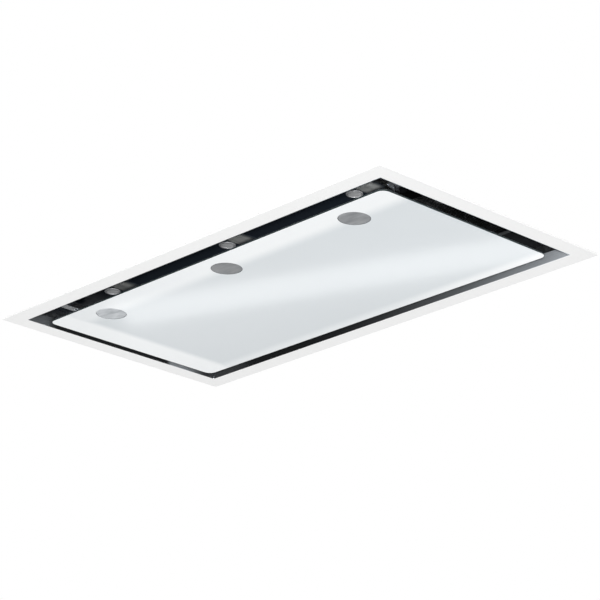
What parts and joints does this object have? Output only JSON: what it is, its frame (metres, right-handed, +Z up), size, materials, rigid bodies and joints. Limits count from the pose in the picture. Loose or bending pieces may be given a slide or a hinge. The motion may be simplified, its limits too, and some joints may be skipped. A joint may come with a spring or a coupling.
{
  "type": "ceiling range hood",
  "caption": "Flush ceiling hood: white flange, polished recess, hinged glass suction panel with lamp windows, filters, blower and duct collar.",
  "frame": {"origin": "middle of the opening, in the plane of the ceiling face that the flange is pulled up against", "axes": "+X along the long sides, +Y towards the side with the panel hinges and the duct collar, +Z up into the ceiling"},
  "size_m": [1.2, 0.63, 0.2995],
  "materials": {
    "white_paint": "smooth white paint",
    "foam": "closed cell foam",
    "mirror_steel": "mirror polished stainless steel",
    "dark_steel": "dark polished steel",
    "galvanised": "galvanised sheet with a fine spangle",
    "zinc": "zinc plated",
    "filter_aluminium": "satin aluminium",
    "mesh_aluminium": "expanded aluminium mesh",
    "latch_plastic": "black moulded plastic",
    "bezel": "satin chrome",
    "lamp_lens": "frosted glass",
    "lamp_can": "cast aluminium with fins",
    "lead_cover": "brushed aluminium",
    "black_plastic": "black moulded plastic",
    "scroll_plastic": "light grey glass filled plastic",
    "wheel_plastic": "ivory moulded plastic",
    "motor_paint": "dark enamel",
    "motor_alloy": "die cast aluminium",
    "rubber": "black rubber",
    "flap_aluminium": "thin aluminium sheet",
    "circuit_board": "green circuit board",
    "white_glass": "white back painted glass",
    "window_glass": "frosted glass",
    "tray_paint": "black powder coat"
  },
  "bodies": {
    "hood": {"flange_frame": "white_paint", "ceiling_gasket": "foam", "recess_liner": "mirror_steel", "flange_nuts": "zinc", "housing_shell": "galvanised", "housing_top": "galvanised", "lid_strips": "galvanised", "housing_screws": "zinc", "hanging_brackets": "galvanised", "hanging_screws": "zinc", "plenum_plate": "dark_steel", "plenum_rivets": "zinc", "filter_crossbars": "galvanised", "lamp_bezels": "bezel", "lamp_lenses": "lamp_lens", "lamp_cans": "lamp_can", "lead_covers": "lead_cover", "catch_brackets": "galvanised", "catch_blocks": "black_plastic", "catch_magnets": "zinc", "catch_screws": "zinc", "hinge_brackets": "galvanised", "hinge_pins": "zinc", "motor_box": "galvanised", "motor_box_screws": "zinc", "scroll_base": "scroll_plastic", "scroll_cover": "scroll_plastic", "scroll_screws": "zinc", "rubber_feet": "rubber", "motor_base": "motor_alloy", "duct_collar": "black_plastic", "collar_screws": "zinc", "flap_pin": "zinc", "flap_springs": "zinc", "control_box": "galvanised", "control_screws": "zinc", "control_board": "circuit_board", "control_lid": "galvanised", "cable_gland": "black_plastic", "lead_conduit": "black_plastic", "filter_frame_left": "filter_aluminium", "filter_mesh_left": "mesh_aluminium", "filter_frame_centre": "filter_aluminium", "filter_mesh_centre": "mesh_aluminium", "filter_frame_right": "filter_aluminium", "filter_mesh_right": "mesh_aluminium"},
    "panel": {"glass_panel": "white_glass", "panel_tray": "tray_paint", "panel_stiffeners": "galvanised", "window_lenses": "window_glass", "window_rings": "zinc", "hinge_leaves": "galvanised", "striker_plates": "zinc"},
    "latch_left": {"filter_latch_left": "latch_plastic"},
    "latch_centre": {"filter_latch_centre": "latch_plastic"},
    "latch_right": {"filter_latch_right": "latch_plastic"},
    "fan": {"impeller": "wheel_plastic", "rotor_can": "motor_paint"},
    "damper_left": {"flap_left": "flap_aluminium"},
    "damper_right": {"flap_right": "flap_aluminium"}
  },
  "joints": [
    {"name": "panel_hinge", "type": "hinge", "parent": "hood", "child": "panel", "pos_m": [0, 0.216, 0.019], "axis": [1, 0, 0], "range_deg": [0, 90]},
    {"name": "fan_spin", "type": "hinge", "parent": "hood", "child": "fan", "pos_m": [-0.025, 0, 0.2], "axis": [0, 0, 1], "continuous": true},
    {"name": "damper_left_hinge", "type": "hinge", "parent": "hood", "child": "damper_left", "pos_m": [0.126, 0.22, 0.192], "axis": [0, 0, -1], "range_deg": [0, 80], "stiffness_Nm_per_rad": 0.01, "springref_deg": -11.46},
    {"name": "damper_right_hinge", "type": "hinge", "parent": "hood", "child": "damper_right", "pos_m": [0.126, 0.22, 0.192], "axis": [0, 0, 1], "range_deg": [0, 80], "stiffness_Nm_per_rad": 0.01, "springref_deg": -11.46},
    {"name": "latch_left_slide", "type": "slide", "parent": "hood", "child": "latch_left", "axis": [0, 1, 0], "range_m": [0, 0.006], "stiffness_N_per_m": 400, "springref_m": -0.003},
    {"name": "latch_centre_slide", "type": "slide", "parent": "hood", "child": "latch_centre", "axis": [0, 1, 0], "range_m": [0, 0.006], "stiffness_N_per_m": 400, "springref_m": -0.003},
    {"name": "latch_right_slide", "type": "slide", "parent": "hood", "child": "latch_right", "axis": [0, 1, 0], "range_m": [0, 0.006], "stiffness_N_per_m": 400, "springref_m": -0.003}
  ]
}
